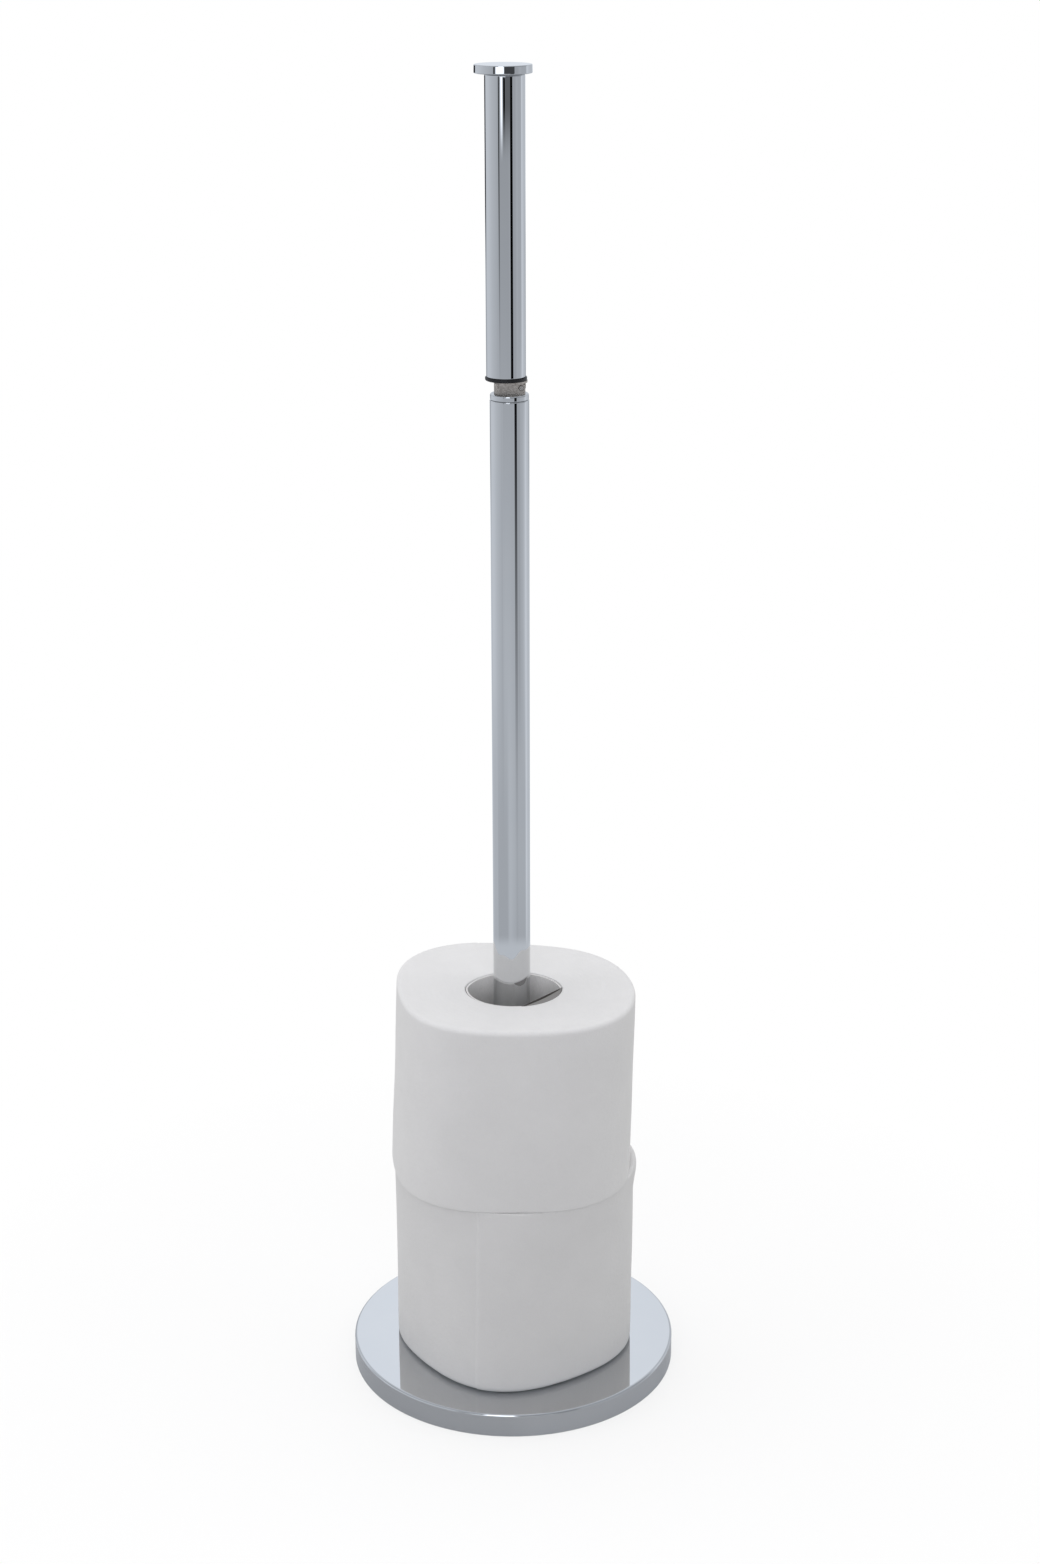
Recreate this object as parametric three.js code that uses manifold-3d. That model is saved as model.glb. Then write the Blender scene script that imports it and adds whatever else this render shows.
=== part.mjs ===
import * as THREE from "three";
import { mergeVertices } from "three/addons/utils/BufferGeometryUtils.js";
import Module from "manifold-3d";

// Freestanding toilet paper holder: a weighted round base, a post that stores spare rolls and
// a short arm that tilts from upright to level on a knuckle at the post's top.
// Millimetres, +Z up. The origin is on the floor, at the centre of the base.

const wasm = await Module();
wasm.setup();

const TURN = Math.PI * 2;
const QUARTER = Math.PI / 2;

// Clearances that every fit uses.
const fit = 0.3; // between a piece and the hole or tube that it goes into
const seat = 0.05; // between two faces that rest on each other
const overrun = 1; // how far a cut runs past the face that it opens

// Base: a pressed cover over a cast weight, on a soft pad.
const baseRadius = 81;
const baseHeight = 11.9; // of the cover, from its lower edge
const coverWall = 0.8;
const coverLift = 0.3; // the cover's lower edge stays this far above the floor
const coverBend = 0.4; // inside radius of the pressed edge
const coverHem = 2.4; // width of the lip that is turned in under the weight
const padInset = 5;
const padThickness = 1.5;
const padHoleMargin = 4; // the pad's hole is this much wider than the counterbore
const weightChamfer = 2.2;

// The screw that draws the post onto the base, and the threaded plug in the post's foot.
const baseScrew = { shank: 4, length: 26, head: 6.5, headHeight: 4, socket: 2.9, socketDepth: 2.6 };
const baseWasher = { radius: 9.5, thickness: 1.6 };
const spannerRoom = 2.5; // between the washer and the counterbore's wall
const footPlugLength = 22;
const footPlugChamfer = 0.8;

// Tubes: the post and the arm are cut from the same stock.
const tubeRadius = 9;
const tubeWall = 1;
const tubeEdge = 0.4; // the ends are broken by this much
const postLength = 479.65;
const armLength = 132.3;

// Collar on the post's top, and the web in it that the knuckle's screw pulls against.
const collarHeight = 2.8;
const collarSetback = 0.15; // the collar is this much smaller in radius than the tube
const collarEdge = 0.8;
const bushWeb = 3;
const bushChamfer = 0.6;

// Knuckle: a slotted fork on the post and a tongue under the arm, on one cross pin.
const knuckleSetback = 1.4; // the knuckle is this much smaller in radius than the tube
const knuckleShift = 0.6; // and its centre is this far to the right of the post's axis
const knuckleFlat = 4.6; // half of the width across the fork's two flats
const eyeRadius = 2; // the tongue's rounded end about the pin
const eyeMargin = 0.8; // from the eye to the knuckle's right side
const eyeRoom = 0.6; // between the eye and the floor of the slot
const earSetback = 0.2; // the ears end this much short of the eye's radius
const plateThickness = 0.9; // the tongue's plate, which lies on the ears when the arm is upright
const slotHalf = 2.2;
const slotFloor = 0.5;
const pinRadius = 1;
const pinShoulder = 0.2;
const pinHeadHeight = 0.4;
const stemRadius = 3.9;
const stemLength = 11.5;
const stemScrew = { shank: 2, length: 10, head: 3.5, headHeight: 2.6, socket: 1.6, socketDepth: 1.6 };
const stemWasher = { radius: 4.6, thickness: 0.8 };
const tapRoom = 1.5; // the tapped hole is this much deeper than its screw reaches
const screwChamferShare = 0.2; // of the shank's radius

// Arm, with the black disc of its lower plug and the wide cap that keeps the roll on.
const armShift = -1.5; // the arm's axis is to the left of the post's axis
const discThickness = 1.6;
const discStep = 0.5; // the disc is this much larger in radius than the tube
const discEdge = 0.5;
const capOverhang = 3.9;
const capHeight = 3.8;
const capEdge = 0.7;
const capShift = -0.7; // the cap sits a little off the tube's axis
const capSpigotLength = 14;
const insertLength = 16;
const insertWall = 1.1;
const insertRibs = 12;
const insertRibDepth = 0.6;
const insertRibShare = 0.35; // width of a rib as a share of its pitch

// Spare rolls on the post.
const rollHeight = 95;
const rollRadius = 59.2;
const coreRadius = 22.6; // inside of the cardboard tube
const coreWall = 0.9;
const coreCentre = { x: 0.9, y: -0.3 };
const sheetGap = 0.3; // between the cardboard and the first turn of paper

// Each roll at its bottom and top: its centre, the radius of its worn edge, how much wider or
// narrower it is than rollRadius, and the waves that keep a soft roll from being round.
const upperShape = {
  bottomCentre: { x: -2.1, y: 1.2 },
  topCentre: { x: 0.9, y: 0.5 },
  bottomRim: 0.9,
  topRim: 2.2,
  bottomGrowthShare: 0.001,
  topGrowthShare: -0.018,
  waves: [
    { lobes: 2, bottomShare: 0.051, topShare: 0.051, direction: -0.49 },
    { lobes: 3, bottomShare: 0.019, topShare: 0.019, direction: 0.04 },
    { lobes: 4, bottomShare: 0.034, topShare: 0.034, direction: -0.77 },
  ],
};
const lowerShape = {
  bottomCentre: { x: 0.25, y: -0.5 },
  topCentre: { x: 0.85, y: 1.25 },
  bottomRim: 1.2,
  topRim: 0.9,
  bottomGrowthShare: -0.017,
  topGrowthShare: -0.014,
  waves: [
    { lobes: 2, bottomShare: -0.008, topShare: 0.02, direction: 0 },
    { lobes: 4, bottomShare: 0.033, topShare: 0, direction: -0.2 },
  ],
};

// Round steps.
const wideSteps = 72;
const tubeSteps = 36;
const smallSteps = 24;
const rollSteps = 64;
const arcSteps = 3;

// Sizes that follow from the ones above.
const baseTop = coverLift + baseHeight;
const coverEdge = coverBend + coverWall;
const counterbore = baseWasher.radius + spannerRoom;
const counterboreRoof = padThickness + baseScrew.headHeight + baseWasher.thickness + fit;
const weightBore = baseScrew.shank + fit * 2;
const tubeBore = tubeRadius - tubeWall;
const plugRadius = tubeBore - fit;
const postBottom = baseTop + seat;
const postTop = postBottom + postLength;
const collarTop = postTop + collarHeight;
const collarRadius = tubeRadius - collarSetback;
const knuckleRadius = tubeRadius - knuckleSetback;
const pinOffset = knuckleShift + knuckleRadius - eyeMargin - eyeRadius;
const pinHeight = slotFloor + eyeRoom + eyeRadius;
const pinCentre = { x: pinOffset, z: collarTop + pinHeight };
const pinHead = pinRadius + pinShoulder;
const earReach = eyeRadius - earSetback;
const earTop = pinCentre.z + earReach;
const plateBottom = pinCentre.z + eyeRadius;
const discBottom = plateBottom + plateThickness;
const discRadius = tubeRadius + discStep;
const armRim = discBottom + discThickness;
const capUnderside = armRim + armLength;
const capRadius = tubeRadius + capOverhang;
const insertBody = plugRadius - insertRibDepth;
const insertBore = insertBody - insertWall;
const capSpigot = insertBore - fit - Math.abs(capShift);
const stemBore = stemRadius + fit;
const screwBore = stemScrew.shank + fit;
const tapDepth = stemScrew.length - bushWeb - stemWasher.thickness + tapRoom;
const forkStemBottom = collarTop - stemLength;
const tongueStemTop = discBottom + stemLength;
const bushWebTop = forkStemBottom - fit;
const bushBottom = bushWebTop - bushWeb;
const plugWebBottom = tongueStemTop + fit;
const plugTop = plugWebBottom + bushWeb;

const finishes = {
  chrome: { color: 0xc9cdd1, roughness: 0.06, metalness: 1 },
  zinc: { color: 0x9c958e, roughness: 0.6, metalness: 0.8 },
  iron: { color: 0x3f4143, roughness: 0.8, metalness: 0.7 },
  steel: { color: 0xa9abad, roughness: 0.35, metalness: 1 },
  foam: { color: 0x1b1c1e, roughness: 0.95, metalness: 0 },
  black: { color: 0x111214, roughness: 0.45, metalness: 0 },
  nylon: { color: 0xd8d6cf, roughness: 0.6, metalness: 0 },
  paper: { color: 0xe5e5e9, roughness: 0.95, metalness: 0 },
  cardboard: { color: 0xa9a6a2, roughness: 0.9, metalness: 0 },
};

function piece(name, geometry, finish) {
  const mesh = new THREE.Mesh(geometry, new THREE.MeshStandardMaterial(finish));
  mesh.name = name;
  return mesh;
}

function welded(geometry) {
  const bare = geometry.clone();
  bare.deleteAttribute("normal");
  bare.deleteAttribute("uv");
  return mergeVertices(bare);
}

function solidOf(geometry) {
  const bare = welded(geometry);
  const mesh = new wasm.Mesh({
    numProp: 3,
    vertProperties: new Float32Array(bare.attributes.position.array),
    triVerts: new Uint32Array(bare.index.array),
  });
  return new wasm.Manifold(mesh);
}

function geometryOf(solid) {
  const mesh = solid.getMesh();
  const geometry = new THREE.BufferGeometry();
  geometry.setAttribute("position", new THREE.BufferAttribute(mesh.vertProperties, 3));
  geometry.setIndex(new THREE.BufferAttribute(mesh.triVerts, 1));
  geometry.computeVertexNormals();
  return geometry;
}

// A profile is a list of [radius, height] points, in order round the section. It either starts
// and ends on the axis or closes on itself.
function revolved(profile, steps) {
  let area = 0;
  for (let i = 0; i < profile.length; i += 1) {
    const [r0, z0] = profile[i];
    const [r1, z1] = profile[(i + 1) % profile.length];
    area += r0 * z1 - r1 * z0;
  }
  const outline = area > 0 ? profile : [...profile].reverse();
  const points = outline.map(([r, z]) => new THREE.Vector2(r, z));
  const onAxis = outline[0][0] === 0 && outline[outline.length - 1][0] === 0;
  if (!onAxis) points.push(points[0].clone());
  return welded(new THREE.LatheGeometry(points, steps).rotateX(QUARTER));
}

// Points of a round corner in a profile, by its centre, radius and angles.
function arc(r, z, radius, from, to) {
  const points = [];
  for (let i = 0; i <= arcSteps; i += 1) {
    const a = from + ((to - from) * i) / arcSteps;
    points.push([r + radius * Math.cos(a), z + radius * Math.sin(a)]);
  }
  return points;
}

function rod(radius, bottom, top, steps = smallSteps) {
  const length = top - bottom;
  const middle = bottom + length / 2;
  return new THREE.CylinderGeometry(radius, radius, length, steps)
    .rotateX(QUARTER)
    .translate(0, 0, middle);
}

// A flat outline in X and Z, made thick along Y and centred on y = 0.
function slab(outline, thickness) {
  const settings = { depth: thickness, bevelEnabled: false, curveSegments: smallSteps };
  return new THREE.ExtrudeGeometry(outline, settings).translate(0, 0, -thickness / 2).rotateX(QUARTER);
}

// Base pieces.
function baseCover() {
  const innerRadius = baseRadius - coverWall;
  const bendRadius = baseRadius - coverEdge;
  const bendHeight = baseTop - coverEdge;
  const profile = [
    [weightBore, baseTop],
    ...arc(bendRadius, bendHeight, coverEdge, QUARTER, 0),
    [baseRadius, coverLift],
    [baseRadius - coverHem, coverLift],
    [baseRadius - coverHem, coverLift + coverWall],
    [innerRadius, coverLift + coverWall],
    ...arc(bendRadius, bendHeight, coverBend, 0, QUARTER),
    [weightBore, baseTop - coverWall],
  ];
  return piece("base_cover", revolved(profile, wideSteps), finishes.chrome);
}

function baseWeight() {
  const bottom = padThickness + seat;
  const top = baseTop - coverWall - fit;
  const radius = baseRadius - coverWall - fit;
  const profile = [
    [weightBore, top],
    [radius - coverEdge, top],
    [radius, top - coverEdge],
    [radius, bottom + weightChamfer],
    [radius - weightChamfer, bottom],
    [counterbore, bottom],
    [counterbore, counterboreRoof],
    [weightBore, counterboreRoof],
  ];
  return piece("base_weight", revolved(profile, wideSteps), finishes.iron);
}

function basePad() {
  const padHole = counterbore + padHoleMargin;
  const padRadius = baseRadius - padInset;
  const profile = [
    [padHole, 0],
    [padRadius, 0],
    [padRadius, padThickness],
    [padHole, padThickness],
  ];
  return piece("base_pad", revolved(profile, wideSteps), finishes.foam);
}

function footPlug() {
  const bottom = postBottom + fit;
  const top = bottom + footPlugLength;
  const bore = baseScrew.shank + fit;
  const profile = [
    [bore, bottom],
    [plugRadius - footPlugChamfer, bottom],
    [plugRadius, bottom + footPlugChamfer],
    [plugRadius, top - footPlugChamfer],
    [plugRadius - footPlugChamfer, top],
    [bore, top],
  ];
  return piece("foot_plug", revolved(profile, tubeSteps), finishes.steel);
}

// A socket screw that points up, with the underside of its head at z = 0.
function socketScrew(name, size) {
  const chamfer = size.shank * screwChamferShare;
  const profile = [
    [0, -size.headHeight],
    [size.head - chamfer, -size.headHeight],
    [size.head, chamfer - size.headHeight],
    [size.head, 0],
    [size.shank, 0],
    [size.shank, size.length - chamfer],
    [size.shank - chamfer, size.length],
    [0, size.length],
  ];
  const socket = new THREE.CylinderGeometry(size.socket, size.socket, size.socketDepth + overrun, 6)
    .rotateX(QUARTER)
    .translate(0, 0, (size.socketDepth - overrun) / 2 - size.headHeight);
  const solid = solidOf(revolved(profile, smallSteps)).subtract(solidOf(socket));
  return piece(name, geometryOf(solid), finishes.steel);
}

function washer(name, size, bore) {
  const profile = [
    [bore, 0],
    [size.radius, 0],
    [size.radius, size.thickness],
    [bore, size.thickness],
  ];
  return piece(name, revolved(profile, smallSteps), finishes.steel);
}

function tube(name, bottom, top) {
  const profile = [
    [tubeBore, bottom],
    [tubeRadius - tubeEdge, bottom],
    [tubeRadius, bottom + tubeEdge],
    [tubeRadius, top - tubeEdge],
    [tubeRadius - tubeEdge, top],
    [tubeBore, top],
  ];
  return piece(name, revolved(profile, tubeSteps), finishes.chrome);
}

// The collar with its spigot in the post, bored for the fork's stem down to a web.
function postBush() {
  const profile = [
    [stemBore, collarTop],
    ...arc(collarRadius - collarEdge, collarTop - collarEdge, collarEdge, QUARTER, 0),
    [collarRadius, postTop + seat],
    [plugRadius, postTop + seat],
    [plugRadius, bushBottom + bushChamfer],
    [plugRadius - bushChamfer, bushBottom],
    [screwBore, bushBottom],
    [screwBore, bushWebTop],
    [stemBore, bushWebTop],
  ];
  return piece("post_bush", revolved(profile, tubeSteps), finishes.chrome);
}

// Knuckle pieces.
function knuckleDrum(bottom, top) {
  return solidOf(rod(knuckleRadius, bottom, top, tubeSteps).translate(knuckleShift, 0, 0));
}

function pinHole() {
  const radius = pinRadius + fit;
  const length = (knuckleRadius + overrun) * 2;
  const hole = new THREE.CylinderGeometry(radius, radius, length, smallSteps);
  return solidOf(hole.translate(pinCentre.x, 0, pinCentre.z));
}

function hingeFork() {
  const bottom = collarTop + seat;
  const left = knuckleShift - knuckleRadius - overrun;
  const right = pinCentre.x + earReach;
  const ears = new THREE.Shape();
  ears.moveTo(left, bottom);
  ears.lineTo(right, bottom);
  ears.lineTo(right, pinCentre.z);
  ears.absarc(pinCentre.x, pinCentre.z, earReach, 0, QUARTER, false);
  ears.lineTo(left, earTop);
  ears.closePath();

  const slotLeft = pinCentre.x - eyeRadius - fit;
  const slot = new THREE.Shape();
  slot.moveTo(slotLeft, collarTop + slotFloor);
  slot.lineTo(right + overrun, collarTop + slotFloor);
  slot.lineTo(right + overrun, earTop + overrun);
  slot.lineTo(slotLeft, earTop + overrun);
  slot.closePath();

  const stem = solidOf(rod(stemRadius, forkStemBottom, bottom + slotFloor / 2));
  const tap = solidOf(rod(screwBore, forkStemBottom - overrun, forkStemBottom + tapDepth));
  const solid = knuckleDrum(bottom, earTop)
    .intersect(solidOf(slab(ears, knuckleFlat * 2)))
    .subtract(solidOf(slab(slot, slotHalf * 2)))
    .subtract(pinHole())
    .add(stem)
    .subtract(tap);
  return piece("hinge_fork", geometryOf(solid), finishes.zinc);
}

function hingeTongue() {
  const top = discBottom - seat;
  const eye = new THREE.Shape();
  eye.moveTo(pinCentre.x - eyeRadius, pinCentre.z);
  eye.absarc(pinCentre.x, pinCentre.z, eyeRadius, Math.PI, TURN, false);
  eye.lineTo(pinCentre.x + eyeRadius, top);
  eye.lineTo(pinCentre.x - eyeRadius, top);
  eye.closePath();

  const stem = solidOf(rod(stemRadius, plateBottom + seat, tongueStemTop));
  const tap = solidOf(rod(screwBore, tongueStemTop - tapDepth, tongueStemTop + overrun));
  const blade = solidOf(slab(eye, (slotHalf - fit) * 2)).intersect(knuckleDrum(collarTop, top));
  const solid = knuckleDrum(plateBottom, top)
    .add(blade)
    .subtract(pinHole())
    .add(stem.translate(armShift, 0, 0))
    .subtract(tap.translate(armShift, 0, 0));
  return piece("hinge_tongue", geometryOf(solid), finishes.zinc);
}

// The pin has a low riveted head on each flat of the fork.
function hingePin() {
  const face = knuckleFlat + seat;
  const profile = [
    [0, -face - pinHeadHeight],
    [pinRadius, -face - pinHeadHeight],
    [pinHead, -face],
    [pinRadius, -face],
    [pinRadius, face],
    [pinHead, face],
    [pinRadius, face + pinHeadHeight],
    [0, face + pinHeadHeight],
  ];
  const geometry = revolved(profile, smallSteps).rotateX(QUARTER);
  return piece("hinge_pin", geometry.translate(pinCentre.x, 0, pinCentre.z), finishes.steel);
}

// Arm pieces, on the arm's own axis.
function armPlug() {
  const profile = [
    [stemBore, discBottom],
    ...arc(discRadius - discEdge, discBottom + discEdge, discEdge, -QUARTER, 0),
    [discRadius, armRim - seat],
    [plugRadius, armRim - seat],
    [plugRadius, plugTop - bushChamfer],
    [plugRadius - bushChamfer, plugTop],
    [screwBore, plugTop],
    [screwBore, plugWebBottom],
    [stemBore, plugWebBottom],
  ];
  return piece("arm_plug", revolved(profile, tubeSteps), finishes.black);
}

function armCap() {
  const bottom = capUnderside + seat;
  const top = bottom + capHeight;
  const spigotBottom = bottom - capSpigotLength;
  const profile = [
    [0, spigotBottom],
    [capSpigot - capEdge, spigotBottom],
    [capSpigot, spigotBottom + capEdge],
    [capSpigot, bottom],
    ...arc(capRadius - capEdge, bottom + capEdge, capEdge, -QUARTER, 0),
    ...arc(capRadius - capEdge, top - capEdge, capEdge, 0, QUARTER),
    [0, top],
  ];
  return piece("arm_cap", revolved(profile, tubeSteps).translate(capShift, 0, 0), finishes.chrome);
}

// A ribbed sleeve that holds the cap's spigot in the tube.
function capInsert() {
  const pitch = TURN / insertRibs;
  const half = (pitch * insertRibShare) / 2;
  const points = [];
  for (let i = 0; i < insertRibs; i += 1) {
    const middle = i * pitch;
    const corners = [
      [insertBody, middle - half],
      [plugRadius, middle - half],
      [plugRadius, middle + half],
      [insertBody, middle + half],
    ];
    for (const [radius, angle] of corners) {
      points.push(new THREE.Vector2(radius * Math.cos(angle), radius * Math.sin(angle)));
    }
  }
  const outline = new THREE.Shape(points);
  const bore = new THREE.Path();
  bore.absarc(0, 0, insertBore, 0, TURN, true);
  outline.holes.push(bore);
  const settings = { depth: insertLength, bevelEnabled: false, curveSegments: smallSteps };
  const geometry = new THREE.ExtrudeGeometry(outline, settings);
  geometry.translate(0, 0, capUnderside - insertLength - fit);
  return piece("cap_insert", welded(geometry), finishes.nylon);
}

// A closed ring through levels that run once round its section. A level gives the point at an
// angle about the ring.
function ringLoft(levels, steps) {
  const positions = [];
  const index = [];
  for (let i = 0; i < levels.length; i += 1) {
    const next = (i + 1) % levels.length;
    for (let j = 0; j < steps; j += 1) {
      positions.push(...levels[i]((j / steps) * TURN));
      const k = (j + 1) % steps;
      const a = i * steps + j;
      const b = i * steps + k;
      const c = next * steps + k;
      const d = next * steps + j;
      index.push(a, b, c, a, c, d);
    }
  }
  const geometry = new THREE.BufferGeometry();
  geometry.setAttribute("position", new THREE.Float32BufferAttribute(positions, 3));
  geometry.setIndex(index);
  geometry.computeVertexNormals();
  return geometry;
}

function ringPoint(centre, radius, angle, z) {
  return [centre.x + radius * Math.cos(angle), centre.y + radius * Math.sin(angle), z];
}

function mix(from, to, share) {
  return from + (to - from) * share;
}

function waveShare(shape, angle, share) {
  let total = 0;
  for (const { lobes, bottomShare, topShare, direction } of shape.waves) {
    total += mix(bottomShare, topShare, share) * Math.cos(lobes * (angle - direction));
  }
  return total;
}

// The paper wound on a core, leaning and soft as its shape says.
function rollPaper(name, shape, bottom) {
  const side = ([inset, z]) => (angle) => {
    const share = z / rollHeight;
    const growthShare = mix(shape.bottomGrowthShare, shape.topGrowthShare, share);
    const radius = rollRadius * (1 + growthShare + waveShare(shape, angle, share)) - inset;
    const centre = {
      x: mix(shape.bottomCentre.x, shape.topCentre.x, share),
      y: mix(shape.bottomCentre.y, shape.topCentre.y, share),
    };
    return ringPoint(centre, radius, angle, z);
  };
  const bore = (z) => (angle) => ringPoint(coreCentre, coreRadius + coreWall + sheetGap, angle, z);
  const { bottomRim, topRim } = shape;
  const lowRim = arc(bottomRim, bottomRim, bottomRim, -QUARTER, -QUARTER * 2);
  const highRim = arc(topRim, rollHeight - topRim, topRim, QUARTER * 2, QUARTER);
  const sides = [...lowRim, [0, rollHeight / 2], ...highRim].map(side);
  const levels = [bore(0), ...sides, bore(rollHeight)];
  return piece(name, ringLoft(levels, rollSteps).translate(0, 0, bottom), finishes.paper);
}

function rollCore(name, bottom) {
  const profile = [
    [coreRadius, 0],
    [coreRadius + coreWall, 0],
    [coreRadius + coreWall, rollHeight],
    [coreRadius, rollHeight],
  ];
  const geometry = revolved(profile, tubeSteps).translate(coreCentre.x, coreCentre.y, bottom);
  return piece(name, geometry, finishes.cardboard);
}

// The stand: base, post and fork.
function stand() {
  const group = new THREE.Group();
  group.add(baseCover(), baseWeight(), basePad(), footPlug(), tube("post_tube", postBottom, postTop));
  group.add(postBush(), hingeFork(), hingePin());

  const baseRing = washer("base_washer", baseWasher, baseScrew.shank + fit);
  baseRing.position.z = counterboreRoof - baseWasher.thickness - seat;
  const baseFixing = socketScrew("base_screw", baseScrew);
  baseFixing.position.z = baseRing.position.z - seat;

  const forkRing = washer("fork_washer", stemWasher, screwBore);
  forkRing.position.z = bushBottom - stemWasher.thickness - seat;
  const forkFixing = socketScrew("fork_screw", stemScrew);
  forkFixing.position.z = forkRing.position.z - seat;
  group.add(baseRing, baseFixing, forkRing, forkFixing);
  return group;
}

// The arm: everything that turns on the pin.
function arm() {
  const onAxis = new THREE.Group();
  onAxis.position.x = armShift;
  onAxis.add(armPlug(), tube("arm_tube", armRim, capUnderside), armCap(), capInsert());

  const tongueRing = washer("tongue_washer", stemWasher, screwBore);
  tongueRing.position.z = plugTop + seat;
  const tongueFixing = socketScrew("tongue_screw", stemScrew);
  tongueFixing.rotation.x = Math.PI;
  tongueFixing.position.z = tongueRing.position.z + stemWasher.thickness + seat;
  onAxis.add(tongueRing, tongueFixing);

  const group = new THREE.Group();
  group.add(hingeTongue(), onAxis);
  return group;
}

function roll(name, shape, bottom) {
  const group = new THREE.Group();
  group.add(rollPaper(name + "_paper", shape, bottom), rollCore(name + "_core", bottom));
  return group;
}

const holder = new THREE.Group();
const lowerBottom = baseTop + seat;
const upperBottom = lowerBottom + rollHeight + seat;
holder.add(stand(), arm());
holder.add(roll("roll_lower", lowerShape, lowerBottom), roll("roll_upper", upperShape, upperBottom));

export default holder;
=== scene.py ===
import math

import bmesh
import bpy
from mathutils import Matrix, Vector, noise


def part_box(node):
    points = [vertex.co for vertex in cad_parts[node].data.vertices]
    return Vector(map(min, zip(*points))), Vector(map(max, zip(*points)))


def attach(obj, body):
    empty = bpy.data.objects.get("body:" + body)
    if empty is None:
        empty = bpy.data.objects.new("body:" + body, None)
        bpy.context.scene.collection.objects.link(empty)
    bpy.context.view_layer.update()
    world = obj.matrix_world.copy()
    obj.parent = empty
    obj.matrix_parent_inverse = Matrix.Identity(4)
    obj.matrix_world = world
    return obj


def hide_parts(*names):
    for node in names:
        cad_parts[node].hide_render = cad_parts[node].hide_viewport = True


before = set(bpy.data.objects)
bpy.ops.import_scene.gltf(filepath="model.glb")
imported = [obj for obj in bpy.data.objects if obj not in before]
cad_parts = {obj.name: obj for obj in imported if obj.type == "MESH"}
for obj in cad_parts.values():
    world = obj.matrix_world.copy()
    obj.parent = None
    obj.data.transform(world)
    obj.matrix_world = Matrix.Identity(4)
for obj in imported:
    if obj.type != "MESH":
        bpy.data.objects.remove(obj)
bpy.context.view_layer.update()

# Looks of a freestanding toilet paper holder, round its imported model. Lengths are in metres and
# angles in radians, unless a comment says otherwise.

TURN = math.tau
QUARTER = math.pi / 2


# Sizes read from the frame.
def low(node):
    return Vector(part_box(node)[0])


def high(node):
    return Vector(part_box(node)[1])


def half_width(node):
    return (high(node).x - low(node).x) / 2


def middle(node):
    return (low(node) + high(node)) / 2


BASE_RADIUS = half_width("base_cover")
BASE_TOP = high("base_cover").z
BASE_LOW = low("base_cover").z
TUBE_RADIUS = half_width("post_tube")
COLLAR_TOP = high("post_bush").z
ARM_X = middle("arm_tube").x
CAP_X = middle("arm_cap").x

# Fine sizes that the frame doesn't give.
COVER_EDGE = 0.0011
COVER_WALL = 0.0008
COVER_HEM = 0.0024
BORE_RADIUS = 0.0042
TUBE_WALL = 0.001
TUBE_EDGE = 0.0004
MOUTH_EDGE = 0.0009      # rounding of the arm's upper end, under the cap
COLLAR_HEIGHT = 0.0028
COLLAR_EDGE = 0.0007
DISC_EDGE = 0.0006
DISC_UPPER_EDGE = DISC_EDGE / 2
CAP_EDGE = 0.0004
CAP_DRAFT = 0.00006      # the cap's side is this much narrower at the top
CAP_SPIGOT = TUBE_RADIUS / 2
SEAT = 0.00005           # gap between two pieces that meet, so that their faces don't coincide
SOFT_EDGE = 0.00018      # bevel of the small pieces
SHEET_GAP = 0.0003       # from a core to the innermost sheet of its roll

# Meshes: how many points a form gets, and the angles in degrees above which an edge is sharp.
ROUND_STEPS = 160
ARC_STEPS = 8
SMALL_ARC_STEPS = 4
INNER_ARC_STEPS = 3
BRACE = 0.00015          # from a long stretch's end to the extra point that keeps its shading flat
SHARP_ANGLE = 35
PAPER_SHARP_ANGLE = 50
BEVEL_ANGLE = 40


# Mesh helpers.
def new_object(name, data):
    piece = bpy.data.objects.new(name, data)
    bpy.context.scene.collection.objects.link(piece)
    return piece


def smooth(piece, angle=SHARP_ANGLE):
    piece.data.shade_smooth()
    piece.data.set_sharp_from_angle(angle=math.radians(angle))


def finished(name, mesh, angle=SHARP_ANGLE):
    bmesh.ops.recalc_face_normals(mesh, faces=mesh.faces)
    data = bpy.data.meshes.new(name)
    mesh.to_mesh(data)
    mesh.free()
    piece = new_object(name, data)
    smooth(piece, angle)
    return piece


def arc(r, z, radius, start, stop, steps=ARC_STEPS):
    """Points of a round corner in a profile, by its centre, radius and angles."""
    angles = [start + (stop - start) * i / steps for i in range(steps + 1)]
    return [(r + radius * math.cos(a), z + radius * math.sin(a)) for a in angles]


def braced(profile, closes):
    """The profile with two more points on each long stretch."""
    points = []
    following = profile[1:] + (profile[:1] if closes else [])
    for first, second in zip(profile, following):
        start = Vector(first)
        stop = Vector(second)
        length = (stop - start).length
        points.append(first)
        if length > 4 * BRACE:
            points.append(tuple(start.lerp(stop, BRACE / length)))
            points.append(tuple(stop.lerp(start, BRACE / length)))
    return points if closes else points + [profile[-1]]


def revolve(name, profile, x=0.0, steps=ROUND_STEPS):
    """A closed body of revolution from (radius, height) points, about the upright line at x."""
    closes = profile[0][0] > 0
    angles = [TURN * i / steps for i in range(steps)]
    mesh = bmesh.new()
    rings = []
    for r, z in braced(profile, closes):
        around = angles if r > 0 else angles[:1]
        rings.append([mesh.verts.new((x + r * math.cos(a), r * math.sin(a), z)) for a in around])
    for first, second in zip(rings, rings[1:] + (rings[:1] if closes else [])):
        for i in range(steps):
            j = (i + 1) % steps
            corners = [first[i % len(first)], first[j % len(first)]]
            corners += [second[j % len(second)], second[i % len(second)]]
            mesh.faces.new(list(dict.fromkeys(corners)))
    return finished(name, mesh)


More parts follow.
